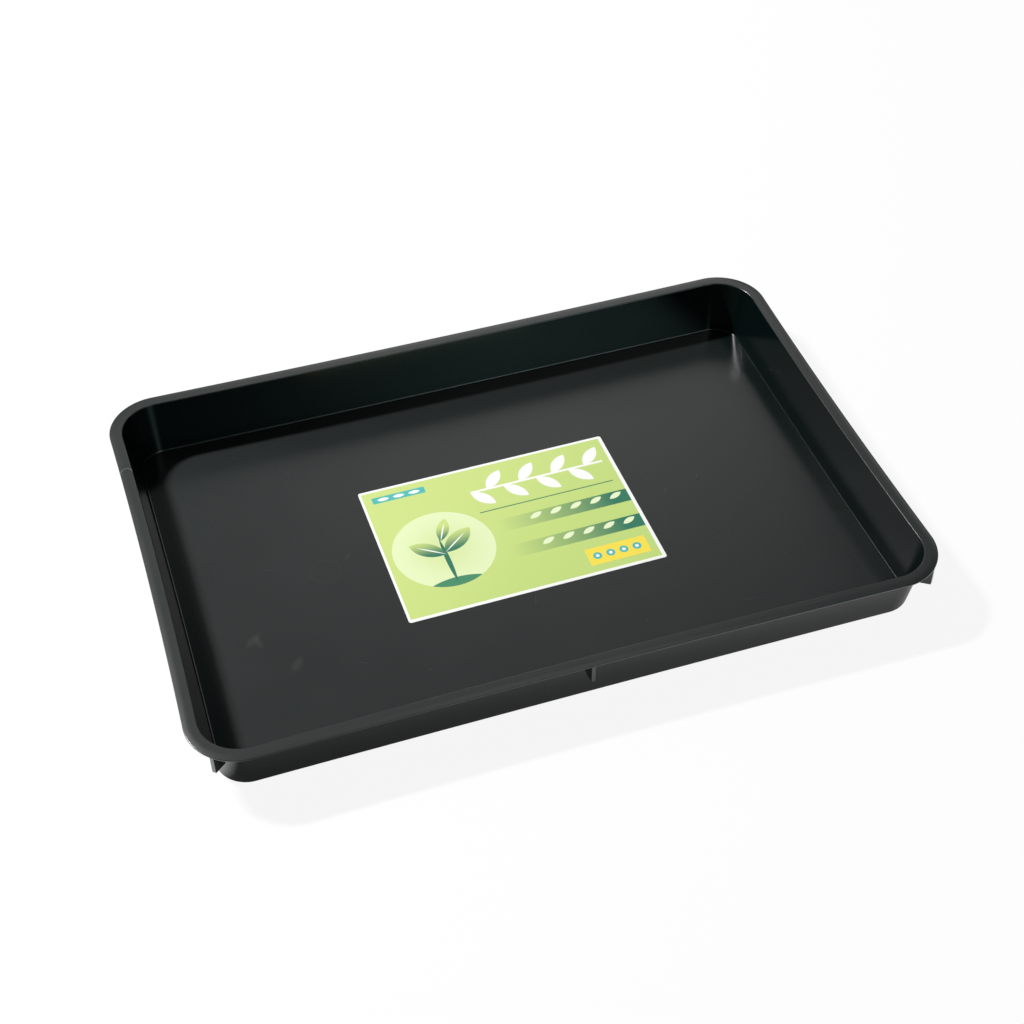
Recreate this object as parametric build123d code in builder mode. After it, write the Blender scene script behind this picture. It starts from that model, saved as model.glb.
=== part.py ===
from build123d import *
from math import atan, cos, degrees, radians, sin, tan
import os

# A shallow potting tray, moulded in one shot from black plastic, with a paper label stuck on its floor.
# Millimetres. X runs along the long side, Y along the short side and Z up, with the origin under the
# middle of the tray, on the surface that it stands on.

# Tray, over the rim
tray_length = 570.0
tray_width = 390.0
tray_height = 47.5

# Rim: a flat flange that runs all the way round. Its outer margin is crowned, so that it falls a little
# before it turns down at the edge.
rim_width = 10.2
rim_thickness = 1.6
rim_corner_radius = 40.0
rim_crown_run = 4.0
rim_crown_drop = 0.5
rim_crown_radius = 26.0
rim_edge_rounding = 0.7
rim_lower_rounding = 0.35
mouth_corner_radius = 31.0
mouth_rounding = 1.0

# Walls and floor
wall_thickness = 2.0
floor_thickness = 2.2
end_wall_lean = 8.8
side_wall_lean = 7.3
foot_corner_radius = 22.0
foot_rounding = 1.3
bottom_rounding = 3.0

# The four sides shrink inward at mid-length as the moulding cools, more at the rim than at the floor
rim_draw_in = 2.0
floor_draw_in = 1.0

# Webs under the rim: one at each corner and one halfway along each long side. Each falls a little
# from the rim's edge to the wall. A nested tray stands on them, so that it comes free again.
web_thickness = 2.8
web_depth = 15.6
web_fall = 17.0
web_tip_rounding = 0.8
corner_web_bearing = 49.0

# Label
label_length = 210.0
label_width = 148.0
label_thickness = 0.2
label_corner_radius = 2.0
label_offset_x = 1.3
label_offset_y = 1.6
label_turn = 0.56

# How far a cut runs past the surface that it opens
cut_overrun = 5.0

# How close to a height a face or an edge lies where it is picked by that height
near = 0.05

rim_underside = tray_height - rim_thickness
crown_foot = tray_height - rim_crown_drop
inner_length = tray_length - 2 * rim_width
inner_width = tray_width - 2 * rim_width
foot_length = inner_length - 2 * end_wall_lean
foot_width = inner_width - 2 * side_wall_lean


def outline(length, width, corner_radius, draw_in):
    """A round-cornered rectangle whose sides are long arcs, drawn in at mid-length."""
    corner_x = length / 2 - corner_radius
    corner_y = width / 2 - corner_radius
    end_tilt = degrees(2 * atan(draw_in / corner_y))
    side_tilt = degrees(2 * atan(draw_in / corner_x))
    with BuildSketch() as flat:
        with BuildLine():
            corner = CenterArc((corner_x, corner_y), corner_radius, -end_tilt, 90 + end_tilt + side_tilt)
            mirror(about=Plane.XZ)
            end_top = corner @ 0
            ThreePointArc(end_top, (length / 2 - draw_in, 0), (end_top.X, -end_top.Y))
            mirror(about=Plane.YZ)
            side_end = corner @ 1
            long_side = ThreePointArc(side_end, (0, width / 2 - draw_in), (-side_end.X, side_end.Y))
            mirror(long_side, about=Plane.XZ)
        make_face()
    return flat.sketch


def wall_outline(height, thickness):
    """The wall's outline at a height: its inner face, or its outer face where a thickness is given."""
    rise = (height - floor_thickness) / (tray_height - floor_thickness)
    return outline(
        foot_length + rise * (inner_length - foot_length) + 2 * thickness,
        foot_width + rise * (inner_width - foot_width) + 2 * thickness,
        foot_corner_radius + rise * (mouth_corner_radius - foot_corner_radius) + thickness,
        floor_draw_in + rise * (rim_draw_in - floor_draw_in),
    )


def web(edge_x, edge_y, bearing):
    """A web that runs inward from a point of the rim's edge, to well past the wall."""
    root = -rim_width - max(end_wall_lean, side_wall_lean)
    root_depth = web_depth - root * tan(radians(web_fall))
    outward = (cos(radians(bearing)), sin(radians(bearing)), 0)
    across = (sin(radians(bearing)), -cos(radians(bearing)), 0)
    upright = Plane(origin=(edge_x, edge_y, rim_underside), x_dir=outward, z_dir=across)
    with BuildPart() as plate:
        with BuildSketch(upright):
            with BuildLine():
                Polyline((0, 0), (0, -web_depth), (root, -root_depth), (root, 0), close=True)
            make_face()
        extrude(amount=web_thickness / 2, both=True)
        tip = plate.edges().filter_by(Axis(origin=(0, 0, 0), direction=across)).sort_by_distance(
            (edge_x, edge_y, rim_underside - web_depth)
        )[0]
        fillet(tip, web_tip_rounding)
    return plate.part


# Cavity: what the walls and the floor enclose
with BuildPart() as cavity:
    for height in (floor_thickness, tray_height + cut_overrun):
        with BuildSketch(Plane.XY.offset(height)):
            add(wall_outline(height, 0))
    loft()
    fillet(cavity.edges().group_by(Axis.Z)[0], foot_rounding)

# Webs: one corner and one side, mirrored to the others
corner_x = tray_length / 2 - rim_corner_radius
corner_y = tray_width / 2 - rim_corner_radius
with BuildPart() as webs:
    corner_edge_x = corner_x + rim_corner_radius * cos(radians(corner_web_bearing))
    corner_edge_y = corner_y + rim_corner_radius * sin(radians(corner_web_bearing))
    add(web(corner_edge_x, corner_edge_y, corner_web_bearing))
    mirror(about=Plane.YZ)
    add(web(0, tray_width / 2 - rim_draw_in, 90))
    mirror(about=Plane.XZ)

# Tray
with BuildPart() as tray:
    for height in (0, rim_underside):
        with BuildSketch(Plane.XY.offset(height)):
            add(wall_outline(height, wall_thickness))
    loft()
    fillet(tray.edges().group_by(Axis.Z)[0], bottom_rounding)

    with BuildSketch(Plane.XY.offset(rim_underside)):
        add(outline(tray_length, tray_width, rim_corner_radius, rim_draw_in))
    extrude(amount=rim_thickness)
    rim_top = tray.faces().sort_by(Axis.Z)[-1]
    chamfer(rim_top.edges(), rim_crown_run, length2=rim_crown_drop, reference=rim_top)
    fillet(tray.faces().sort_by(Axis.Z)[-1].edges(), rim_crown_radius)
    at_crown_foot = tray.edges().filter_by_position(Axis.Z, crown_foot - near, crown_foot + near)
    fillet(at_crown_foot, rim_edge_rounding)
    rim_bottom = tray.faces().filter_by_position(Axis.Z, rim_underside - near, rim_underside + near)[0]
    fillet(rim_bottom.outer_wire().edges(), rim_lower_rounding)

    add(webs.part)
    add(cavity.part, mode=Mode.SUBTRACT)
    mouth = tray.faces().sort_by(Axis.Z)[-1].inner_wires()[0].edges()
    fillet(mouth, mouth_rounding)

tray.part.label = "tray"

# Label: stuck flat on the floor, near its middle and a little askew
label_plane = Plane(origin=(label_offset_x, label_offset_y, floor_thickness)).rotated((0, 0, label_turn))
with BuildPart() as label:
    with BuildSketch(label_plane):
        RectangleRounded(label_length, label_width, label_corner_radius)
    extrude(amount=label_thickness)

label.part.label = "label"

os.makedirs("parts", exist_ok=True)
export_step(tray.part, "parts/tray.step")
export_step(label.part, "parts/label.step")

size = tray.part.bounding_box().size
print(f"tray {size.X:.2f} x {size.Y:.2f} x {size.Z:.2f} mm, volume {tray.part.volume / 1000:.1f} cm3")
print(f"floor inside {foot_length:.1f} x {foot_width:.1f} mm")
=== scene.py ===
# %% [markdown]
# # A black potting tray with a paper label
#
# The object is a shallow tray, moulded in one shot from black plastic, with a printed label stuck on
# its floor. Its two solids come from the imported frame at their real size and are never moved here.
# This lesson adds what a solid can't hold: how the plastic takes the light, the marks that moulding
# and handling leave on it, and how the label is printed.

# %% Load the frame
import math
import bpy
from mathutils import Matrix, Vector


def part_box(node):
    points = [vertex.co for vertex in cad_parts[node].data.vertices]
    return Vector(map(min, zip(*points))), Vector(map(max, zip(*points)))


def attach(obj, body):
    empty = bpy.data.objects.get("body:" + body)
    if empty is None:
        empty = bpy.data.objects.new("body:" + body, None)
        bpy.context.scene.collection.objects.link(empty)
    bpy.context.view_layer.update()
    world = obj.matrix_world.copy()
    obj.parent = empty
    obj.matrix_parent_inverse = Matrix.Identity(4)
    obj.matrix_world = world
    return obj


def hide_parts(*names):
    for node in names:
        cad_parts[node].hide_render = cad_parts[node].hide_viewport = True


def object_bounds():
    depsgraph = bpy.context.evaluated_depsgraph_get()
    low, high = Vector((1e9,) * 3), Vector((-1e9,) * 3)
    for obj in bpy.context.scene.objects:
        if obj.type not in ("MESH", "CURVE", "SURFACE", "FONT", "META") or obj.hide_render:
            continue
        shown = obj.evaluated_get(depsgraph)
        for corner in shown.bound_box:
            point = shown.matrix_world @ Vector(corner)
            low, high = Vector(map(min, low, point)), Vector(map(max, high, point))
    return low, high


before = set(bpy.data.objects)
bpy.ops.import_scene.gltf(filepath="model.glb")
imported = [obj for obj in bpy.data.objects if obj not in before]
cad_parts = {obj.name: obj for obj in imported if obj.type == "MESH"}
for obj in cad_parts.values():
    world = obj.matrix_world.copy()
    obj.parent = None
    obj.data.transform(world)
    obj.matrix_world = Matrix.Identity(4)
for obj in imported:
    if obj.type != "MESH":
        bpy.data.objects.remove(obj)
scene = bpy.context.scene
scene.view_settings.view_transform = "Standard"
millimetre = 0.001
solid_low, solid_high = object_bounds()
solid_size = solid_high - solid_low
print("solid model:", " x ".join(f"{side / millimetre:.1f}" for side in solid_size), "mm")

# %% [markdown]
# ## The camera
#
# The photograph looks down on the tray at about 45 degrees, from the front and a little to the left.
# A camera could be placed by eye, but the tray's straight edges fix it well: these angles, this
# distance and this lens bring every edge of the model onto the photographed one. The camera is
# written as a bearing and a height around the point that it looks at, because those are the numbers
# a photographer would change.

# %% Camera
view_bearing = math.radians(-17.80)
view_height = math.radians(44.79)
view_roll = math.radians(-0.776)
view_distance = 1.3764
look_at = Vector((0.0011, -0.0058, 0.02375))
lens_length = 61.70
sensor_width = 36.0

backward = Vector((
    math.sin(view_bearing) * math.cos(view_height),
    -math.cos(view_bearing) * math.cos(view_height),
    math.sin(view_height),
))
level_right = Vector((0, 0, 1)).cross(backward).normalized()
level_up = backward.cross(level_right)
right = math.cos(view_roll) * level_right + math.sin(view_roll) * level_up
up = math.cos(view_roll) * level_up - math.sin(view_roll) * level_right

camera = bpy.data.objects.new("camera", bpy.data.cameras.new("camera"))
scene.collection.objects.link(camera)
camera.matrix_world = (
    Matrix.Translation(look_at + backward * view_distance)
    @ Matrix((right, up, backward)).transposed().to_4x4()
)
camera.data.lens = lens_length
camera.data.sensor_width = sensor_width
scene.camera = camera
print("camera stands at", [round(c, 3) for c in camera.location])

# %% [markdown]
# ## Small tools for node trees
#
# Materials and Geometry Nodes are both trees of nodes, and most of the nodes here are plain sums.
# Written out by hand, each sum takes four lines. `Wire` stands for a node's output, and adding or
# multiplying wires adds the Math node that does it, so a formula in this script reads as it would on
# paper.

# %% Sums on wires
class Wire:
    """A node's output, with the sums that can be done on it."""

    def __init__(self, tree, socket):
        self.tree = tree
        self.socket = socket

    def math(self, operation, *others):
        made = self.tree.nodes.new("ShaderNodeMath")
        made.operation = operation
        for socket, value in zip(made.inputs, (self, *others)):
            feed(self.tree, socket, value)
        return Wire(self.tree, made.outputs[0])

    def __add__(self, other):
        return self.math("ADD", other)

    def __sub__(self, other):
        return self.math("SUBTRACT", other)

    def __mul__(self, other):
        return self.math("MULTIPLY", other)

    def __truediv__(self, other):
        return self.math("DIVIDE", other)

    def __rtruediv__(self, other):
        return self.math("POWER", -1.0) * other

    def __rsub__(self, other):
        return self * -1 + other

    __radd__ = __add__
    __rmul__ = __mul__


# %% Nodes by name
def feed(tree, socket, value):
    """Links a socket to a wire or a node's output, or sets it to a plain value."""
    if isinstance(value, Wire):
        value = value.socket
    if isinstance(value, bpy.types.NodeSocket):
        tree.links.new(value, socket)
    else:
        socket.default_value = value


def node(tree, kind, inputs=None, **settings):
    """Adds a node, with its settings and its inputs by name or number."""
    made = tree.nodes.new(kind)
    for name, value in settings.items():
        setattr(made, name, value)
    for name, value in (inputs or {}).items():
        feed(tree, made.inputs[name], value)
    return made


def wire(tree, kind, inputs=None, output=0, **settings):
    """Adds a node and hands back one of its outputs."""
    return Wire(tree, node(tree, kind, inputs, **settings).outputs[output])


# %% Places, ramps and tints
def vector(tree, x, y, z):
    return wire(tree, "ShaderNodeCombineXYZ", {"X": x, "Y": y, "Z": z})


def split(tree, value):
    """The three numbers that a vector holds."""
    parts = node(tree, "ShaderNodeSeparateXYZ", {0: value})
    return [Wire(tree, output) for output in parts.outputs]


def ramp(tree, value, start, end, low=0.0, high=1.0, curve="SMOOTHSTEP"):
    """Goes from low to high while the value goes from start to end, and stays level outside."""
    ends = {"Value": value, "From Min": start, "From Max": end, "To Min": low, "To Max": high}
    return wire(tree, "ShaderNodeMapRange", ends, output="Result", interpolation_type=curve)


def tint(tree, share, under, over):
    """Lays one colour over another, by a share from 0 to 1."""
    return wire(tree, "ShaderNodeMix", {0: share, 6: under, 7: over}, output=2, data_type="RGBA")


# %% A material and what it starts with
def new_material(name):
    """A material with its tree, its Principled shader and the place on the object in metres."""
    material = bpy.data.materials.new(name)
    material.use_nodes = True
    tree = material.node_tree
    place = Wire(tree, tree.nodes.new("ShaderNodeTexCoord").outputs["Object"])
    return material, tree, tree.nodes["Principled BSDF"], place


# %% [markdown]
# ## The table
#
# The photograph stands the tray on pure white. A lit white table alone would show every fold of
# light on it, so to the camera the table glows a little by itself. What is left of its own shading
# keeps the tray's shadow, which seats the tray on the table.
#
# The tray's gloss mirrors the table too. To the left, where the lamp stands, the table is bright right
# up to the tray. In front and to the right the tray shades it, and it grows brighter with the distance
# from the tray. Ramps on that distance and across the table say this for mirrored rays. From below the
# table is clear, so that the tray's underside can be looked at.

# %% Table
table_reach = 6.0
table_gap = 0.1 * millimetre
table_mesh = bpy.data.meshes.new("table")
ways = ((-1, -1), (1, -1), (1, 1), (-1, 1))
corners = [(x * table_reach, y * table_reach, -table_gap) for x, y in ways]
table_mesh.from_pydata(corners, [], [(0, 1, 2, 3)])
table = bpy.data.objects.new("table", table_mesh)
scene.collection.objects.link(table)
print("table is", 2 * table_reach, "m wide")

# %% What the gloss sees of the table
mirrored_left, mirrored_right = 0.50, 1.85
mirrored_lit_side = 2.4
lit_side_fade = 22 * millimetre
shaded_share, open_share = 0.23, 1.3
shade_start, shade_end = -14 * millimetre, 55 * millimetre

material, tree, shader, place = new_material("white_table")
x, y, _ = split(tree, place)
from_tray = (x.math("ABSOLUTE") - solid_high.x).math("MAXIMUM", y.math("ABSOLUTE") - solid_high.y)
mirrored_glow = ramp(tree, x, solid_low.x, solid_high.x, mirrored_left, mirrored_right, curve="LINEAR")
mirrored_glow = mirrored_glow * ramp(tree, from_tray, shade_start, shade_end, shaded_share, open_share)
on_lit_side = ramp(tree, x, solid_low.x + lit_side_fade, solid_low.x, curve="LINEAR")
mirrored_glow = mirrored_glow + on_lit_side * (mirrored_lit_side - mirrored_glow)
print("mirrored glow:", len(tree.nodes), "nodes")

# %% White for the camera, clear from below
table_whiteness = 0.86
table_roughness = 0.9
table_glow = 0.9
shader.inputs["Roughness"].default_value = table_roughness
shader.inputs["Base Color"].default_value = (table_whiteness,) * 3 + (1,)
rays = node(tree, "ShaderNodeLightPath")
seen = Wire(tree, rays.outputs["Is Camera Ray"])
mirrored = Wire(tree, rays.outputs["Is Glossy Ray"]).math("MAXIMUM", rays.outputs["Is Transmission Ray"])
strength = seen + mirrored * (mirrored_glow - seen)
glow = wire(tree, "ShaderNodeEmission", {"Color": (1, 1, 1, 1), "Strength": strength})
glow_share = seen * table_glow + mirrored
surface = wire(tree, "ShaderNodeMixShader", {0: glow_share, 1: shader.outputs[0], 2: glow})
from_below = wire(tree, "ShaderNodeNewGeometry", output="Backfacing") * seen
clear = wire(tree, "ShaderNodeBsdfTransparent")
surface = wire(tree, "ShaderNodeMixShader", {0: from_below, 1: surface, 2: clear})
feed(tree, tree.nodes["Material Output"].inputs["Surface"], surface)
table_mesh.materials.append(material)
print("table material:", len(tree.nodes), "nodes")

# %% [markdown]
# ## The light
#
# Black plastic has next to no colour of its own. What the photograph shows is its gloss: the floor
# and the rim carry the soft glare of a long lamp that stands behind the tray to the left, and the
# walls, which face away from it, stay dark. The lamp is narrow, so the left and the back wall each
# throw a clear shadow onto the glossy floor.

# %% The lamp
left_wall = solid_low.x
back_wall = solid_high.y
lamp_height = 2.8
strip_radiance = 640.0

# The strip's edges, as the slopes at which its light comes over the left wall and over the back wall
strip_left, strip_right = 0.67, 0.48
strip_front, strip_back = 0.44, 0.52

lamp = bpy.data.lights.new("strip_lamp", "AREA")
lamp.shape = "RECTANGLE"
lamp.size = (strip_left - strip_right) * lamp_height
lamp.size_y = (strip_back - strip_front) * lamp_height
lamp.energy = strip_radiance * math.pi * lamp.size * lamp.size_y
lamp.color = (1.0, 0.985, 0.975)
strip = bpy.data.objects.new("strip_lamp", lamp)
scene.collection.objects.link(strip)
strip.location = (
    left_wall - (strip_left + strip_right) / 2 * lamp_height,
    back_wall + (strip_front + strip_back) / 2 * lamp_height,
    lamp_height,
)
strip.visible_camera = False
print(f"strip lamp: {lamp.size:.2f} x {lamp.size_y:.2f} m, {lamp.energy:.0f} W")

# %% [markdown]
# The rest of the light comes from large soft panels, whose glare fades to nothing at its edges. A lamp
# has hard edges, so these panels are patches of glow in the world, each between two bearings and two
# heights. The glossy parts pick them out one by one, because each tilts its own way: the floor mirrors
# the largest panel behind the tray, the back wall a low cool one in front, and the rim's crown a small
# one on each side.

# %% A soft patch of the world
world = bpy.data.worlds.new("studio")
scene.world = world
world.use_nodes = True
tree = world.node_tree
across, back, high = split(tree, wire(tree, "ShaderNodeTexCoord", output="Generated"))
height = high.math("ARCSINE") * math.degrees(1)
behind = across.math("ARCTAN2", back) * math.degrees(1)
in_front = across.math("ARCTAN2", back * -1) * math.degrees(1)


def patch(bearing, sides, side_fade, heights, height_fade, radiance):
    """A patch of the world between two bearings and two heights, in degrees, with soft edges."""
    left, right = sides
    low, high = heights
    covered = ramp(tree, bearing, left - side_fade, left + side_fade)
    covered = covered * ramp(tree, bearing, right - side_fade, right + side_fade, 1.0, 0.0)
    covered = covered * ramp(tree, height, low - height_fade, low + height_fade)
    return covered * ramp(tree, height, high - height_fade, high + height_fade, 1.0, 0.0) * radiance


# %% The soft panels
# What mirrors each patch: its bearing, sides, side fade, heights, height fade and radiance
warm_patches = {
    "floor": (behind, (7, 31), 7, (27, 46.5), 3.5, 1.15),
    "crown of the right rim": (behind, (36, 52), 3, (22, 38), 3, 1.2),
    "crown of the front rim": (behind, (16, 44), 5, (58, 68), 4, 1.6),
    "crown of the left rim": (behind, (-21, -15), 1.5, (49, 55), 1.5, 5.0),
    "crown of the back rim": (behind, (3, 26), 4, (20.5, 28), 2.5, 1.5),
    "edge of the front rim and foot of the back wall": (in_front, (12, 40), 4, (43, 57), 4, 2.6),
}
back_wall_patch = (in_front, (10.5, 21), 5.5, (15, 34), 5, 4.0)
room_glow = 0.04
warm, cool = (1.0, 0.97, 0.95), (0.6, 1.0, 0.97)
warm_glow = 0.0
for values in warm_patches.values():
    warm_glow = warm_glow + patch(*values)
cool_glow = patch(*back_wall_patch) + room_glow
channels = {number: warm_glow * warm[number] + cool_glow * cool[number] for number in range(3)}
lit = wire(tree, "ShaderNodeCombineColor", channels)
seen = wire(tree, "ShaderNodeLightPath", output="Is Camera Ray")
feed(tree, tree.nodes["Background"].inputs["Color"], tint(tree, seen, lit, (1, 1, 1, 1)))
print("world:", len(warm_patches) + 1, "patches of glow")

# %% [markdown]
# ## Marks from handling
#
# Trays travel in stacks and stand about in sheds, so both the plastic and the label carry a little
# dust and a few hair scratches. More than one material uses them, so they are built once, as a node
# group with named inputs. Dust is the middle of a Voronoi cell, in the few cells whose random number
# is high. A scratch is the line where a noise, stretched long, passes through its middle value.

# %% Node groups for materials
def new_shader_group(name, inputs, outputs):
    """A shader node group: its tree, wires from its inputs and its output node."""
    tree = bpy.data.node_groups.new(name, "ShaderNodeTree")
    kinds = {"Place": "NodeSocketVector"}
    for label in inputs:
        kind = kinds.get(label, "NodeSocketFloat")
        tree.interface.new_socket(label, in_out="INPUT", socket_type=kind)
    for label in outputs:
        tree.interface.new_socket(label, in_out="OUTPUT", socket_type="NodeSocketFloat")
    entry = tree.nodes.new("NodeGroupInput")
    given = {label: Wire(tree, entry.outputs[label]) for label in inputs}
    return tree, given, tree.nodes.new("NodeGroupOutput")


def use_group(tree, group, inputs):
    """Places a node group in a material and hands back wires from its outputs."""
    made = node(tree, "ShaderNodeGroup", node_tree=group)
    for name, value in inputs.items():
        feed(tree, made.inputs[name], value)
    return {output.name: Wire(tree, output) for output in made.outputs}


# %% Dust
handling, given, results = new_shader_group(
    "handling_marks",
    ["Place", "Dust Spacing", "Dust Size", "Dust Share", "Scratch Spacing", "Scratch Width"],
    ["Dust", "Scratches"],
)
tree = handling
dust_core_share = 0.6
cells = node(tree, "ShaderNodeTexVoronoi", {"Vector": given["Place"], "Scale": 1 / given["Dust Spacing"]})
dusty = split(tree, cells.outputs["Color"])[0].math("LESS_THAN", given["Dust Share"])
speck = given["Dust Size"] / given["Dust Spacing"] / 2
from_middle = Wire(tree, cells.outputs["Distance"])
dust = dusty * ramp(tree, from_middle, speck * dust_core_share, speck, 1.0, 0.0)
feed(tree, results.inputs["Dust"], dust)
print("dust:", len(tree.nodes), "nodes")

# %% Hair scratches
scratch_bearing = math.radians(28)
scratch_stretch = (0.35, 1.6, 1.0)
scratch_wander = 0.6
scratch_gaps = 2.5
kept_from, kept_to = 0.6, 0.7
long_way = wire(tree, "ShaderNodeMapping", {
    "Vector": given["Place"], "Rotation": (0, 0, scratch_bearing), "Scale": scratch_stretch,
})
waves = wire(tree, "ShaderNodeTexNoise", {
    "Vector": long_way, "Scale": 1 / given["Scratch Spacing"], "Detail": 1.0, "Distortion": scratch_wander,
})
kept = wire(tree, "ShaderNodeTexNoise", {
    "Vector": given["Place"], "Scale": scratch_gaps / given["Scratch Spacing"], "Detail": 0.0,
})
crossing = (waves - 0.5).math("ABSOLUTE") * given["Scratch Spacing"]
lines = ramp(tree, crossing, 0.0, given["Scratch Width"], 1.0, 0.0)
feed(tree, results.inputs["Scratches"], lines * ramp(tree, kept, kept_from, kept_to))
print("handling marks:", len(tree.nodes), "nodes")

# %% [markdown]
# ## Shapes written as distances
#
# Crisp marks and flat print need no picture. Each shape is a sum that gives the distance to its edge,
# below zero inside, and `drawn` turns that distance into a mask whose edge is a given softness wide.

# %% Discs, bars and leaves
def drawn(tree, distance, softness):
    return ramp(tree, distance, -softness, softness, 1.0, 0.0)


def disc(u, v, middle, radius):
    across, up = u - middle[0], v - middle[1]
    return (across * across + up * up).math("SQRT") - radius


def bar(u, v, low, high):
    """A straight rectangle between two corners."""
    beside = (u - (low[0] + high[0]) / 2).math("ABSOLUTE") - (high[0] - low[0]) / 2
    above = (v - (low[1] + high[1]) / 2).math("ABSOLUTE") - (high[1] - low[1]) / 2
    return beside.math("MAXIMUM", above)


def leaf(u, v, foot, bearing, length, width):
    """A pointed leaf, which is what two equal discs share. It grows from its foot."""
    radius = (length ** 2 + width ** 2) / (4 * width)
    along_u, along_v = math.cos(math.radians(bearing)), math.sin(math.radians(bearing))
    across, up = u - foot[0], v - foot[1]
    along = across * along_u + up * along_v - length / 2
    aside = (up * along_u - across * along_v).math("ABSOLUTE") + (radius - width / 2)
    return (along * along + aside * aside).math("SQRT") - radius


# %% [markdown]
# ## The plastic
#
# Black plastic has two glosses at once. Light that meets the true surface is mirrored, with a blur
# that says how fine the mould was: the floor and the rim are satin, and the walls, which slide out of
# the mould, are polished. Light that meets the microscopic scuffs on top spreads much wider and makes
# the grey haze. The Principled shader's own gloss is the first, and its coat, left rough, the second.
# The haze is strongest on the rim, which hands and other trays rub. Along the ends of the floor, where
# no pot stands, the surface is smoother and the haze thinner.
#
# Over that lie the tray's own marks: a ring on the floor and one on the rim where ejector pins pushed
# it out of the mould, two scuffs and a few long scratches on the floor, and grains of dust. The rim's
# ring is painted pale on its back half alone: a painted highlight, where the ring catches the light.

# %% Where on the tray, in millimetres
plastic, tree, shader, place = new_material("black_plastic")
x, y, z = (axis / millimetre for axis in split(tree, place))
rim_from, rim_to = 44.0, 47.0
floor_to, wall_from = 2.5, 3.5
worn_to, unworn_from = 246.0, 257.0
on_rim = ramp(tree, z, rim_from, rim_to)
on_floor = ramp(tree, z, floor_to, wall_from, 1.0, 0.0)
at_floor_ends = on_floor * ramp(tree, x.math("ABSOLUTE"), worn_to, unworn_from)
print("the floor is unworn from", unworn_from, "mm off the middle")

# %% Scratches, scuffs and dust on the floor
marks = use_group(tree, handling, {
    "Place": place, "Dust Spacing": 0.016, "Dust Size": 0.0009, "Dust Share": 0.03,
    "Scratch Spacing": 0.1, "Scratch Width": 0.0005,
})

# Each has the place of its foot, its bearing and its length
long_scratches = [
    ((-133.0, 6.5), 46, 9.0), ((131.0, -4.5), 52, 7.0), ((163.0, 4.0), 60, 6.0), ((-6.5, -86.0), 72, 9.0),
]
scratch_width, scratch_softness = 0.5, 0.2
scratched = 0.0
for foot, bearing, length in long_scratches:
    scratch = leaf(x, y, foot, bearing, length, scratch_width)
    scratched = scratched + drawn(tree, scratch, scratch_softness)

# The same and its width: two strokes that meet, and one alone
scuffs = [
    ((-224.0, -57.0), 42, 15.0, 6.0), ((-214.0, -61.0), 100, 11.0, 4.0), ((-197.0, -91.0), 52, 15.0, 6.0),
]
scuff_softness = 2.4
scuffed = 0.0
for foot, bearing, length, width in scuffs:
    scuffed = scuffed + drawn(tree, leaf(x, y, foot, bearing, length, width), scuff_softness)

grains = ((-100.8, -121.8), (-255.1, -88.3), (-152.0, 118.0), (68.0, -128.0))
grain_radius, grain_softness = 0.5, 0.3
dusted = marks["Dust"]
for middle in grains:
    dusted = dusted + drawn(tree, disc(x, y, middle, grain_radius), grain_softness)
print("marks:", len(long_scratches), "scratches,", len(scuffs), "scuffs,", len(grains), "grains")

# %% Rings of the ejector pins
def pin_ring(middle, radius, width, softness):
    """What the end of a round ejector pin leaves: a thin ring."""
    return drawn(tree, disc(x, y, middle, radius).math("ABSOLUTE") - width / 2, softness)


# The rim's ring is drawn on its back half alone, as a painted highlight where it catches the light
floor_ring = pin_ring((-149.9, -0.4), 12.0, 1.0, 0.4)
ring_gone, ring_whole = 110.0, 113.0
rim_ring_highlight = pin_ring((-278.7, 111.3), 4.5, 0.6, 0.2) * ramp(tree, y, ring_gone, ring_whole)
print("marks:", len(tree.nodes), "nodes")

# %% Colour of the plastic
black = (0.0018, 0.0054, 0.0052, 1)
# The grey of dust and marks, and of the painted highlight on the rim's ring
dust_and_highlight_grey = (0.045, 0.045, 0.04, 1)
scuff_weight, scratch_weight, floor_ring_weight = 0.3, 0.7, 0.12
# Painted highlight: how pale the rim's pin ring is painted on its lit back half
rim_ring_highlight_weight = 2.5
fine_scratch_weight = 0.015
palest = 3.0
floor_marks = scuffed * scuff_weight + scratched * scratch_weight + floor_ring * floor_ring_weight + dusted
# The floor's marks are dust, scuffs, scratches and a pin ring; the rim's ring is a painted highlight
pale = on_floor * floor_marks + on_rim * rim_ring_highlight * rim_ring_highlight_weight
pale = (pale + marks["Scratches"] * fine_scratch_weight).math("MINIMUM", palest)
colour = tint(tree, pale, black, dust_and_highlight_grey)
colour.socket.node.clamp_factor = False
feed(tree, shader.inputs["Base Color"], colour)
print("plastic's colour:", len(tree.nodes), "nodes")

# %% Gloss and haze of the plastic
satin, polish, cloud_roughness = 0.26, 0.17, 0.06
unworn_smoothness, unworn_clarity = 0.1, 0.7
cloud_size = 14.0
cloudy = wire(tree, "ShaderNodeTexNoise", {"Vector": place, "Scale": cloud_size, "Detail": 3.0}) - 0.5
polished = wire(tree, "ShaderNodeAttribute", output="Fac", attribute_name="polished")
roughness = ramp(tree, polished, 0.0, 1.0, satin, polish, curve="LINEAR") + cloudy * cloud_roughness
roughness = roughness - at_floor_ends * unworn_smoothness + marks["Scratches"] * fine_scratch_weight
feed(tree, shader.inputs["Roughness"], roughness)

floor_haze, rim_haze, cloud_haze = 0.36, 0.27, 0.08
haze_spread, polished_clarity = 0.7, 0.95
haze = floor_haze + on_rim * rim_haze + cloudy * cloud_haze
haze = haze * (1 - at_floor_ends * unworn_clarity) * (1 - polished * polished_clarity)
shader.inputs["Coat Roughness"].default_value = haze_spread
feed(tree, shader.inputs["Coat Weight"], haze)
print("plastic:", len(tree.nodes), "nodes")

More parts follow.
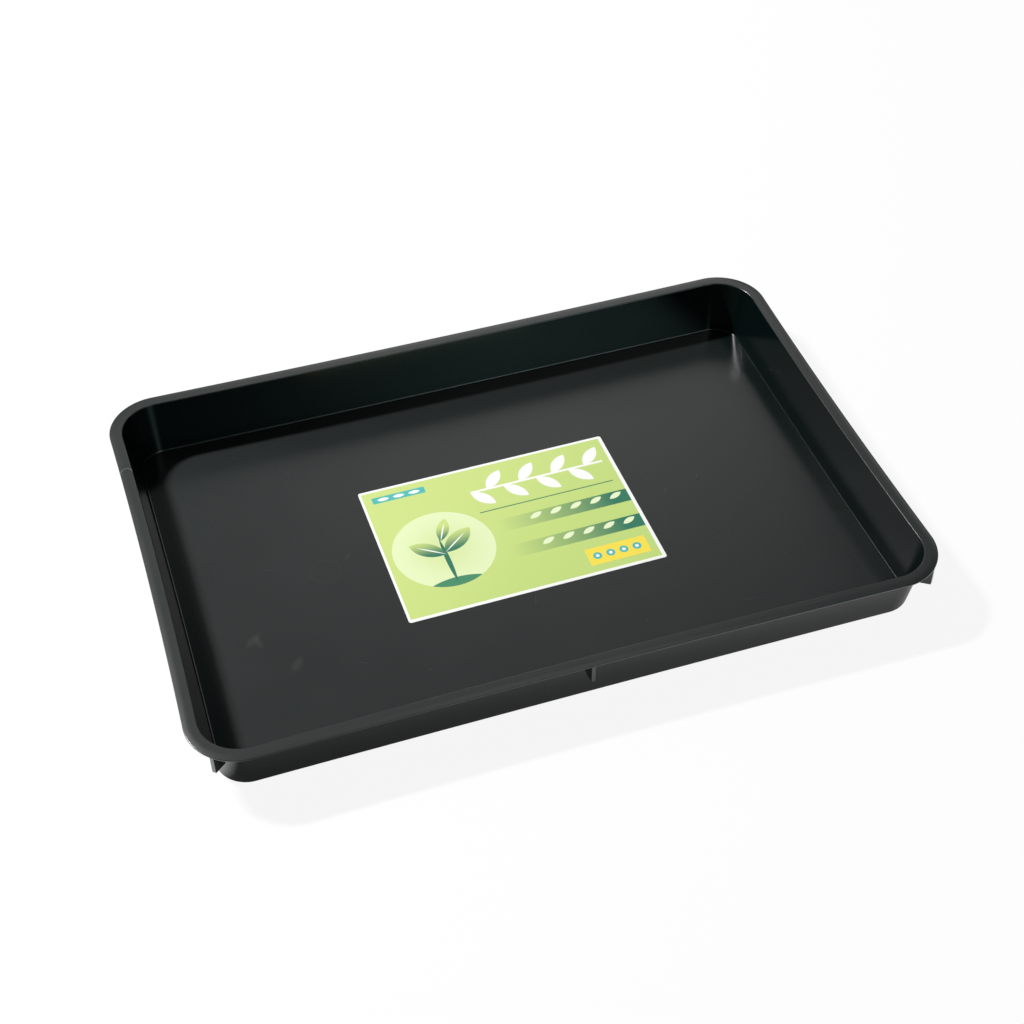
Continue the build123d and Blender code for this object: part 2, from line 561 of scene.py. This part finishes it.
# %% [markdown]
# ## The shell of the tray
#
# The real tray is one moulding: a floor, walls that lean outward so that it leaves the mould, a flat
# rim with a crowned edge, and webs under the rim. The frame's solid is right in size, but its surface
# is cut into triangles that are too coarse for gloss: a highlight along the rim breaks into dots.
#
# The shape follows one rule. A single profile, from the middle of the floor up the wall, over the rim
# and back underneath, runs round a rounded rectangle. Modelling it by hand would give up that rule,
# and a plain sweep can't do it, because the ends lean more than the sides and every height has its
# own corner. So the tree sweeps the profile round a circle first, which only makes the grid of
# points, and then puts each point where the rule says. Each size is an input with a name.

# %% Sizes of the shell, in millimetres and steps
tray_low, tray_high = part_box("tray")
tray_length, tray_width, tray_height = [side / millimetre for side in Vector(tray_high) - Vector(tray_low)]
shell_sizes = {
    "Length": tray_length,
    "Width": tray_width,
    "Height": tray_height,
    "Rim Width": 10.2,
    "Rim Thickness": 1.6,
    "Rim Corner": 40.0,
    "Rim Draw-in": 2.0,
    "Crown Run": 4.0,
    "Crown Drop": 0.5,
    "Crown Rounding": 26.0,
    "Edge Rounding": 0.7,
    "Lower Rounding": 0.35,
    "Mouth Corner": 31.0,
    "Mouth Rounding": 1.0,
    "Wall": 2.0,
    "Wall Root Rounding": 0.4,
    "End Lean": 8.8,
    "Side Lean": 7.3,
    "Floor": 2.2,
    "Foot Corner": 22.0,
    "Foot Rounding": 1.3,
    "Foot Draw-in": 1.0,
    "Foot Margin": 6.0,
    "Bottom Rounding": 3.0,
    "Web Thickness": 2.8,
    "Web Depth": 15.6,
    "Web Fall": math.tan(math.radians(17.0)),
    "Web Tip Rounding": 0.8,
    "Web Bearing": math.radians(49.0),
}
shell_steps = {"End Steps": 14, "Corner Steps": 32, "Side Steps": 18, "Rounding Steps": 8}
print(f"tray {tray_length:.1f} x {tray_width:.1f} x {tray_height:.1f} mm")

# %% [markdown]
# The profile is a line through a few corners, each with its own rounding, and the Fillet Curve node
# rounds them. An Index Switch hands each point of a plain line its place, which is how a drawing's
# numbers get into a tree.

# %% Profiles in a tree
def pick(tree, kind, choices):
    """Gives each point the choice that has its number."""
    made = node(tree, "GeometryNodeIndexSwitch", data_type=kind)
    for _ in choices[2:]:
        made.index_switch_items.new()
    feed(tree, made.inputs["Index"], wire(tree, "GeometryNodeInputIndex"))
    for number, choice in enumerate(choices):
        feed(tree, made.inputs[str(number)], choice)
    return Wire(tree, made.outputs[0])


def remember(tree, geometry, kind, value):
    """Keeps a value on each point, so that it is still there after a sweep."""
    made = node(tree, "GeometryNodeCaptureAttribute")
    made.capture_items.new(kind, "kept")
    feed(tree, made.inputs[0], geometry)
    feed(tree, made.inputs[1], value)
    return Wire(tree, made.outputs[0]), Wire(tree, made.outputs[1])


def rounded_profile(tree, corners, steps, closed=False):
    """A line through corners given as reach, height and rounding, and each point's place on it."""
    line = wire(tree, "GeometryNodeCurvePrimitiveLine")
    line = wire(tree, "GeometryNodeResampleCurve", {"Curve": line, "Count": len(corners)})
    places = pick(tree, "VECTOR", [vector(tree, reach, 0, height) for reach, height, _ in corners])
    line = wire(tree, "GeometryNodeSetPosition", {"Geometry": line, "Position": places})
    line = wire(tree, "GeometryNodeSetSplineCyclic", {"Geometry": line, "Cyclic": closed})
    roundings = pick(tree, "FLOAT", [rounding for _, _, rounding in corners])
    line = wire(
        tree, "GeometryNodeFilletCurve", {"Curve": line, "Count": steps, "Radius": roundings}, mode="POLY"
    )
    return remember(tree, line, "VECTOR", wire(tree, "GeometryNodeInputPosition"))


# %% [markdown]
# Each side of the real tray shrank inward as the plastic cooled, so a side is a long shallow arc that
# meets the corner's arc with no kink. With a quarter of the outline cut into steps, a point's step
# tells whether it lies on the end, round the corner or along the side, and how far along.

# %% One point of the outline
def outline_point(tree, step, size, half_length, half_width, corner, draw_in):
    """Where a step of a quarter of the outline lies: x and y, from the middle of an end to a side."""
    end_steps, corner_steps, side_steps = size["End Steps"], size["Corner Steps"], size["Side Steps"]
    centre_x = half_length - corner
    centre_y = half_width - corner
    end_turn = 2 * (draw_in / centre_y).math("ARCTANGENT")
    side_turn = 2 * (draw_in / centre_x).math("ARCTANGENT")
    end_radius = centre_y / end_turn.math("SINE") - corner
    side_radius = centre_x / side_turn.math("SINE") - corner

    on_end = end_turn * ramp(tree, step / end_steps, 0.0, 1.0, curve="LINEAR")
    end_x = half_length - draw_in + end_radius * (1 - on_end.math("COSINE"))
    end_y = end_radius * on_end.math("SINE")

    round_corner = ramp(tree, (step - end_steps) / corner_steps, 0.0, 1.0, curve="LINEAR")
    bearing = round_corner * (math.pi / 2 + end_turn + side_turn) - end_turn
    corner_x = centre_x + corner * bearing.math("COSINE")
    corner_y = centre_y + corner * bearing.math("SINE")

    before_side = end_steps + corner_steps
    on_side = side_turn * ramp(tree, (step - before_side) / side_steps, 0.0, 1.0, 1.0, 0.0, curve="LINEAR")
    side_x = side_radius * on_side.math("SINE")
    side_y = half_width - draw_in + side_radius * (1 - on_side.math("COSINE"))

    past_end = step.math("GREATER_THAN", end_steps)
    past_corner = step.math("GREATER_THAN", before_side)
    x = end_x + past_end * (corner_x - end_x) + past_corner * (side_x - corner_x)
    y = end_y + past_end * (corner_y - end_y) + past_corner * (side_y - corner_y)
    return x, y


# %% [markdown]
# The shell's tree puts these together. The profile is drawn with an upright wall: its reach is
# measured from the wall's inner face, and the lean is added afterwards, so that ends and sides can
# lean by different amounts. Inside the foot's margin the rings shrink towards the middle, where the
# floor and the bottom close at a pole.

# %% A tree with named inputs
def new_geometry_tree(name, sizes, steps):
    """A Geometry Nodes tree with a named input for each size, and wires from those inputs."""
    tree = bpy.data.node_groups.new(name, "GeometryNodeTree")
    tree.interface.new_socket("Geometry", in_out="OUTPUT", socket_type="NodeSocketGeometry")
    for label in sizes:
        tree.interface.new_socket(label, in_out="INPUT", socket_type="NodeSocketFloat")
    for label in steps:
        tree.interface.new_socket(label, in_out="INPUT", socket_type="NodeSocketInt")
    inputs = tree.nodes.new("NodeGroupInput")
    return tree, {label: Wire(tree, inputs.outputs[label]) for label in [*sizes, *steps]}


tree, size = new_geometry_tree("tray_shell", shell_sizes, shell_steps)
print("inputs:", len(size))

# %% The profile, swept round a circle
middle = size["Width"] / -2
under_rim = size["Height"] - size["Rim Thickness"]
floor_ring_shares = (1.0, 0.66, 0.33)
bottom_ring_shares = (0.5, 1.0)
shell_corners = [
    *[(middle * share, size["Floor"], 0.0) for share in floor_ring_shares],
    (-1 * size["Foot Margin"], size["Floor"], 0.0),
    (0.0, size["Floor"], size["Foot Rounding"]),
    (0.0, size["Height"], size["Mouth Rounding"]),
    (size["Rim Width"] - size["Crown Run"], size["Height"], size["Crown Rounding"]),
    (size["Rim Width"], size["Height"] - size["Crown Drop"], size["Edge Rounding"]),
    (size["Rim Width"], under_rim, size["Lower Rounding"]),
    (size["Wall"], under_rim, size["Wall Root Rounding"]),
    (size["Wall"], 0.0, size["Bottom Rounding"]),
    (-1 * size["Foot Margin"], 0.0, 0.0),
    *[(middle * share, 0.0, 0.0) for share in bottom_ring_shares],
]
profile, on_profile = rounded_profile(tree, shell_corners, size["Rounding Steps"])
quarter = size["End Steps"] + size["Corner Steps"] + size["Side Steps"]
ring = wire(tree, "GeometryNodeCurvePrimitiveCircle", {"Resolution": 4 * quarter})
ring, number = remember(tree, ring, "FLOAT", wire(tree, "GeometryNodeInputIndex"))
grid = wire(tree, "GeometryNodeCurveToMesh", {"Curve": ring, "Profile Curve": profile})
print("profile:", len(shell_corners), "corners")

# %% Which of it is polished
reach, _, height = split(tree, on_profile)
above_floor = ramp(tree, height, size["Floor"], size["Floor"] + size["Foot Rounding"])
below_mouth = ramp(tree, height, size["Height"] - size["Mouth Rounding"], size["Height"], 1.0, 0.0)
on_web_side = ramp(tree, reach, size["Rim Width"] - size["Crown Run"], size["Rim Width"], 1.0, 0.0)
polished = above_floor * below_mouth * on_web_side
grid = wire(
    tree, "GeometryNodeStoreNamedAttribute", {"Geometry": grid, "Name": "polished", "Value": polished},
    data_type="FLOAT", domain="POINT",
)
print("profile and polish:", len(tree.nodes), "nodes")

# %% Each point in its place
rise = (height - size["Floor"]) / (size["Height"] - size["Floor"])
wall_root = size["Wall"] + size["Wall Root Rounding"]
on_wall = ramp(tree, reach, wall_root, size["Rim Width"] - size["Crown Run"], 1.0, 0.0, curve="LINEAR")
fallen = (1 - rise) * on_wall
beyond = (reach + size["Foot Margin"]).math("MINIMUM", 0.0)
shrink = 1 - beyond / (middle + size["Foot Margin"])
reach = reach.math("MAXIMUM", -1 * size["Foot Margin"])
wall_to_rim = (size["Rim Corner"] - size["Mouth Corner"]) / size["Rim Width"]
x, y = outline_point(
    tree, number.math("PINGPONG", quarter), size,
    size["Length"] / 2 - size["Rim Width"] + reach - size["End Lean"] * fallen,
    size["Width"] / 2 - size["Rim Width"] + reach - size["Side Lean"] * fallen,
    size["Mouth Corner"] + reach * wall_to_rim - (size["Mouth Corner"] - size["Foot Corner"]) * fallen,
    size["Rim Draw-in"] - (size["Rim Draw-in"] - size["Foot Draw-in"]) * fallen,
)
on_left = number.math("GREATER_THAN", quarter) * number.math("LESS_THAN", 3 * quarter)
in_front = number.math("GREATER_THAN", 2 * quarter)
place_on_shell = vector(tree, x * shrink * (1 - 2 * on_left), y * shrink * (1 - 2 * in_front), height)
shell = wire(tree, "GeometryNodeSetPosition", {"Geometry": grid, "Position": place_on_shell})
merge_distance = 0.0001
shell = wire(tree, "GeometryNodeMergeByDistance", {"Geometry": shell, "Distance": merge_distance})
shell = wire(tree, "GeometryNodeSetShadeSmooth", {"Geometry": shell, "Shade Smooth": True})
print("shell:", len(tree.nodes), "nodes")

# %% [markdown]
# Under the rim stand six webs, one at each corner and one halfway along each long side. A nested tray
# rests on them, so that it comes free again. They repeat, so one web is made and put on six points.

# %% One web under the rim
half_wall = size["Wall"] / 2
web_root = half_wall - size["Rim Width"]
wall_slope = (size["End Lean"] + size["Side Lean"]) / 2 / size["Height"]
root_fall = size["Web Depth"] + (size["Rim Width"] + half_wall) * size["Web Fall"]
web_corners = [
    (0.0, 0.0, 0.0),
    (0.0, -1 * size["Web Depth"], size["Web Tip Rounding"]),
    (web_root - root_fall * wall_slope, -1 * root_fall, 0.0),
    (web_root, 0.0, 0.0),
]
web_profile, on_web = rounded_profile(tree, web_corners, size["Rounding Steps"], closed=True)
across = wire(tree, "GeometryNodeCurvePrimitiveLine")
across, along = remember(tree, across, "VECTOR", wire(tree, "GeometryNodeInputPosition"))
web = wire(
    tree, "GeometryNodeCurveToMesh", {"Curve": across, "Profile Curve": web_profile, "Fill Caps": True}
)
web_reach, _, web_height = split(tree, on_web)
web_side = (split(tree, along)[2] - 0.5) * size["Web Thickness"]
place_on_web = vector(tree, web_reach, web_side, web_height)
web = wire(tree, "GeometryNodeSetPosition", {"Geometry": web, "Position": place_on_web})
web = wire(tree, "GeometryNodeSetShadeSmooth", {"Geometry": web, "Shade Smooth": False})
print("web:", len(web_corners), "corners")

# %% Six places for the webs
bearing = size["Web Bearing"]
rim_corner = size["Rim Corner"]
corner_x = size["Length"] / 2 - rim_corner + rim_corner * bearing.math("COSINE")
corner_y = size["Width"] / 2 - rim_corner + rim_corner * bearing.math("SINE")
side_y = size["Width"] / 2 - size["Rim Draw-in"]
web_places = [
    (vector(tree, corner_x, corner_y, under_rim), bearing),
    (vector(tree, 0.0, side_y, under_rim), math.pi / 2),
    (vector(tree, -1 * corner_x, corner_y, under_rim), math.pi - bearing),
    (vector(tree, -1 * corner_x, -1 * corner_y, under_rim), math.pi + bearing),
    (vector(tree, 0.0, -1 * side_y, under_rim), math.pi * 3 / 2),
    (vector(tree, corner_x, -1 * corner_y, under_rim), math.pi * 2 - bearing),
]
places = pick(tree, "VECTOR", [place for place, _ in web_places])
bearings = pick(tree, "FLOAT", [bearing for _, bearing in web_places])
points = wire(tree, "GeometryNodePoints", {"Count": len(web_places), "Position": places})
turn = wire(tree, "FunctionNodeAxisAngleToRotation", {"Axis": (0, 0, 1), "Angle": bearings})
webs = wire(tree, "GeometryNodeInstanceOnPoints", {"Points": points, "Instance": web, "Rotation": turn})
print("webs:", len(web_places))

# %% [markdown]
# The tree worked in millimetres, like the drawing. Its last nodes join shell and webs, bring them to
# metres, turn the copies into real mesh and give it its material. A Weighted Normal modifier then
# shades each big face dead flat up to its rounding. The result is kept as a plain mesh.

# %% Join, scale and realize
whole = node(tree, "GeometryNodeJoinGeometry")
for part in (webs, shell):
    tree.links.new(part.socket, whole.inputs[0])
whole = wire(tree, "GeometryNodeTransform", {"Geometry": whole.outputs[0], "Scale": (millimetre,) * 3})
whole = wire(tree, "GeometryNodeRealizeInstances", {"Geometry": whole})
whole = wire(tree, "GeometryNodeSetMaterial", {"Geometry": whole, "Material": plastic})
output = tree.nodes.new("NodeGroupOutput")
feed(tree, output.inputs["Geometry"], whole)
print("whole tree:", len(tree.nodes), "nodes")

# %% From the tree to a plain mesh
def finished_piece(name, tree, values):
    """Runs a tree on an empty mesh and keeps the result as a plain mesh."""
    maker = bpy.data.objects.new(name + "_maker", bpy.data.meshes.new(name + "_maker"))
    scene.collection.objects.link(maker)
    modifier = maker.modifiers.new("shape", "NODES")
    modifier.node_group = tree
    for item in tree.interface.items_tree:
        if item.in_out == "INPUT":
            modifier[item.identifier] = values[item.name]
    shading = maker.modifiers.new("even_shading", "WEIGHTED_NORMAL")
    shading.keep_sharp = True
    depsgraph = bpy.context.evaluated_depsgraph_get()
    mesh = bpy.data.meshes.new_from_object(
        maker.evaluated_get(depsgraph), preserve_all_data_layers=True, depsgraph=depsgraph
    )
    mesh.name = name
    bpy.data.objects.remove(maker)
    piece = bpy.data.objects.new(name, mesh)
    scene.collection.objects.link(piece)
    print(f"{name}: {len(mesh.vertices)} points, {len(mesh.polygons)} faces")
    return piece


# %% The finished tray
tray_shell = finished_piece("tray_shell", tree, {**shell_sizes, **shell_steps})
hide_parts("tray")
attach(tray_shell, "root")

# %% [markdown]
# ## The label
#
# The label is an A5 sheet of satin paper, printed in flat greens up to a white margin and stuck on by
# hand, a little askew. It could be painted as a picture and laid on with a UV map. Written as sums it
# stays crisp at any size, and needs no file. The print is a generic one: a seedling in a pale round
# field, a leafy twig, two bands that fade out, and a yellow panel.
#
# A Mapping node turns the place on the tray into millimetres on the sheet, from its middle.

# %% Where the label lies
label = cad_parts["label"]
label_low, label_high = (Vector(corner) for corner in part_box("label"))
label_middle = (label_low + label_high) / 2
label_turn = math.radians(0.56)
print_edge = 0.15
field_low, field_high = (-103.0, -71.1), (102.1, 71.6)
print("label's middle:", [round(c / millimetre, 2) for c in label_middle], "mm")

# %% Inks and the printed field
white = (0.88, 0.88, 0.86, 1)
leaf_green = (0.50, 0.65, 0.19, 1)
fresh_green = (0.56, 0.68, 0.22, 1)
pale_green = (0.76, 0.85, 0.55, 1)
deep_green = (0.02, 0.17, 0.10, 1)
soil_green = (0.05, 0.24, 0.12, 1)
yellow = (0.88, 0.70, 0.07, 1)
teal = (0.07, 0.45, 0.42, 1)

material, tree, shader, place = new_material("printed_label")
on_sheet = wire(tree, "ShaderNodeMapping", {
    "Vector": place, "Location": (label_middle.x, label_middle.y, 0), "Rotation": (0, 0, label_turn),
    "Scale": (millimetre,) * 3,
}, vector_type="TEXTURE")
u, v, _ = split(tree, on_sheet)


def printed_over(under, shape, over, share=1.0):
    """Prints a colour over what is there, inside a shape or in a share of it."""
    return tint(tree, drawn(tree, shape, print_edge) * share, under, over)


fresh_from, fresh_to = -120.0, 140.0
field = tint(tree, ramp(tree, u - v, fresh_from, fresh_to), fresh_green, leaf_green)
print("field:", [round(high - low, 1) for low, high in zip(field_low, field_high)], "mm")

# %% [markdown]
# Each band is at full strength at the sheet's right edge and fades to nothing towards the left, with
# a row of small pale leaves on it.

# %% Bands
band_feet = (-6.0, -36.0)
band_height = 14.0
band_left = -20.0
fade_from, fade_to = -8.0, 88.0
leaf_count, leaf_start, leaf_pitch = 5, 86.0, 17.0
leaf_length, leaf_width, leaf_bearing = 12.0, 5.0, 24
for band_foot in band_feet:
    band = bar(u, v, (band_left, band_foot), (field_high[0], band_foot + band_height))
    field = printed_over(field, band, deep_green, ramp(tree, u, fade_from, fade_to, curve="LINEAR"))
    for step in range(leaf_count):
        foot = (leaf_start - leaf_pitch * step, band_foot + band_height / 2)
        small_leaf = leaf(u, v, foot, leaf_bearing, leaf_length, leaf_width)
        field = printed_over(field, small_leaf, pale_green)
print("bands:", len(band_feet))

# %% The round field
seed_middle = (-57.0, -8.0)
seed_radius = 41.0
pale_in_middle, pale_at_edge = 0.35, 0.8
round_field = disc(u, v, seed_middle, seed_radius)
inside = drawn(tree, round_field, print_edge)
lightened = ramp(tree, round_field, -seed_radius, 0.0, pale_in_middle, pale_at_edge)
field = tint(tree, inside * lightened, field, pale_green)
print("round field:", 2 * seed_radius, "mm wide")

# %% Soil, stem and seed leaves
soil_middle, soil_radius = (seed_middle[0], -98.0), 58.0
field = printed_over(field, disc(u, v, soil_middle, soil_radius), soil_green, inside)
stem_foot, stem_bearing, stem_length, stem_width = (seed_middle[0], -46.0), 91, 50.0, 4.0
field = printed_over(field, leaf(u, v, stem_foot, stem_bearing, stem_length, stem_width), deep_green)

# Each leaf has its place along the stem, its bearing, its length and its width
seed_leaves = [(-12.0, 38, 33.0, 15.0), (-14.0, 146, 31.0, 14.0), (1.0, 66, 25.0, 10.0)]
vein_share, vein_width = 0.8, 1.2
shade_share = 0.7
for up, bearing, length, width in seed_leaves:
    foot = (seed_middle[0], up)
    shade = tint(tree, ramp(tree, v, up, up + length * shade_share), deep_green, fresh_green)
    field = printed_over(field, leaf(u, v, foot, bearing, length, width), shade)
    field = printed_over(field, leaf(u, v, foot, bearing, length * vein_share, vein_width), white)
print("seedling:", len(seed_leaves), "leaves")

# %% The twig
twig_left, twig_right, twig_height = -18.0, 96.0, 45.0
twig_leaf_count, twig_width, twig_pitch = 8, 2.2, 14.0
twig_low, twig_high = twig_height - twig_width / 2, twig_height + twig_width / 2
twig_leaf_length, twig_leaf_width, twig_leaf_bearing = 24.0, 10.0, 48
field = printed_over(field, bar(u, v, (twig_left, twig_low), (twig_right, twig_high)), white)
for step in range(twig_leaf_count):
    foot = (twig_left + twig_pitch * step, twig_height)
    bearing = twig_leaf_bearing if step % 2 else -twig_leaf_bearing
    field = printed_over(field, leaf(u, v, foot, bearing, twig_leaf_length, twig_leaf_width), white)
rule_low, rule_high = 20.0, 21.0
field = printed_over(field, bar(u, v, (twig_left, rule_low), (twig_right, rule_high)), deep_green)
print("twig:", twig_leaf_count, "leaves")

# %% Yellow panel with dots
panel_low, panel_high = (46.0, -64.0), (96.0, -46.0)
field = printed_over(field, bar(u, v, panel_low, panel_high), yellow)
dot_count, first_dot, dot_pitch, dot_height = 4, 54.0, 11.0, -55.0
dot_radius, dot_middle_radius = 3.6, 1.5
for step in range(dot_count):
    dot = (first_dot + dot_pitch * step, dot_height)
    field = printed_over(field, disc(u, v, dot, dot_radius), teal)
    field = printed_over(field, disc(u, v, dot, dot_middle_radius), white)
print("panel:", dot_count, "dots")

# %% Teal ribbon
ribbon_low, ribbon_high = (-96.0, 58.0), (-52.0, 65.0)
field = printed_over(field, bar(u, v, ribbon_low, ribbon_high), teal)
ribbon_leaf_count, first_leaf, ribbon_leaf_pitch, ribbon_leaf_height = 3, -92.0, 13.0, 61.5
ribbon_leaf_length, ribbon_leaf_width = 10.0, 3.6
for step in range(ribbon_leaf_count):
    foot = (first_leaf + ribbon_leaf_pitch * step, ribbon_leaf_height)
    ribbon_leaf = leaf(u, v, foot, 0, ribbon_leaf_length, ribbon_leaf_width)
    field = printed_over(field, ribbon_leaf, white)
print("ribbon:", ribbon_leaf_count, "leaves")

# %% [markdown]
# The paper shows through a little: its fibres make the ink uneven and the gloss slightly rough, and
# the cut edge stays white. The handling marks come from the same group as on the plastic.

# %% Paper
fibre_scale = 1.4
fibres = wire(tree, "ShaderNodeTexNoise", {"Vector": on_sheet, "Scale": fibre_scale, "Detail": 3.0})
marks = use_group(tree, handling, {
    "Place": place, "Dust Spacing": 0.02, "Dust Size": 0.0007, "Dust Share": 0.05,
    "Scratch Spacing": 0.05, "Scratch Width": 0.0004,
})
colour = printed_over(white, bar(u, v, field_low, field_high), field)
ink_on_valleys, ink_on_fibres = 0.975, 0.05
uneven = ink_on_valleys + fibres * ink_on_fibres
evenness = wire(tree, "ShaderNodeCombineColor", {number: uneven for number in range(3)})
mix = {0: 1.0, 6: colour, 7: evenness}
colour = wire(tree, "ShaderNodeMix", mix, output=2, data_type="RGBA", blend_type="MULTIPLY")
dust_colour = (0.55, 0.53, 0.5, 1)
dust_weight = 0.5
feed(tree, shader.inputs["Base Color"], tint(tree, marks["Dust"] * dust_weight, colour, dust_colour))
paper_roughness, fibre_roughness, scratch_roughness = 0.36, 0.1, 0.15
roughness = paper_roughness + fibres * fibre_roughness + marks["Scratches"] * scratch_roughness
feed(tree, shader.inputs["Roughness"], roughness)
fibre_depth, relief_share = 0.01 * millimetre, 0.4
relief = wire(tree, "ShaderNodeBump", {"Height": fibres, "Distance": fibre_depth, "Strength": relief_share})
feed(tree, shader.inputs["Normal"], relief)
for holder in label.material_slots:
    holder.material = material
print("label print:", len(tree.nodes), "nodes")
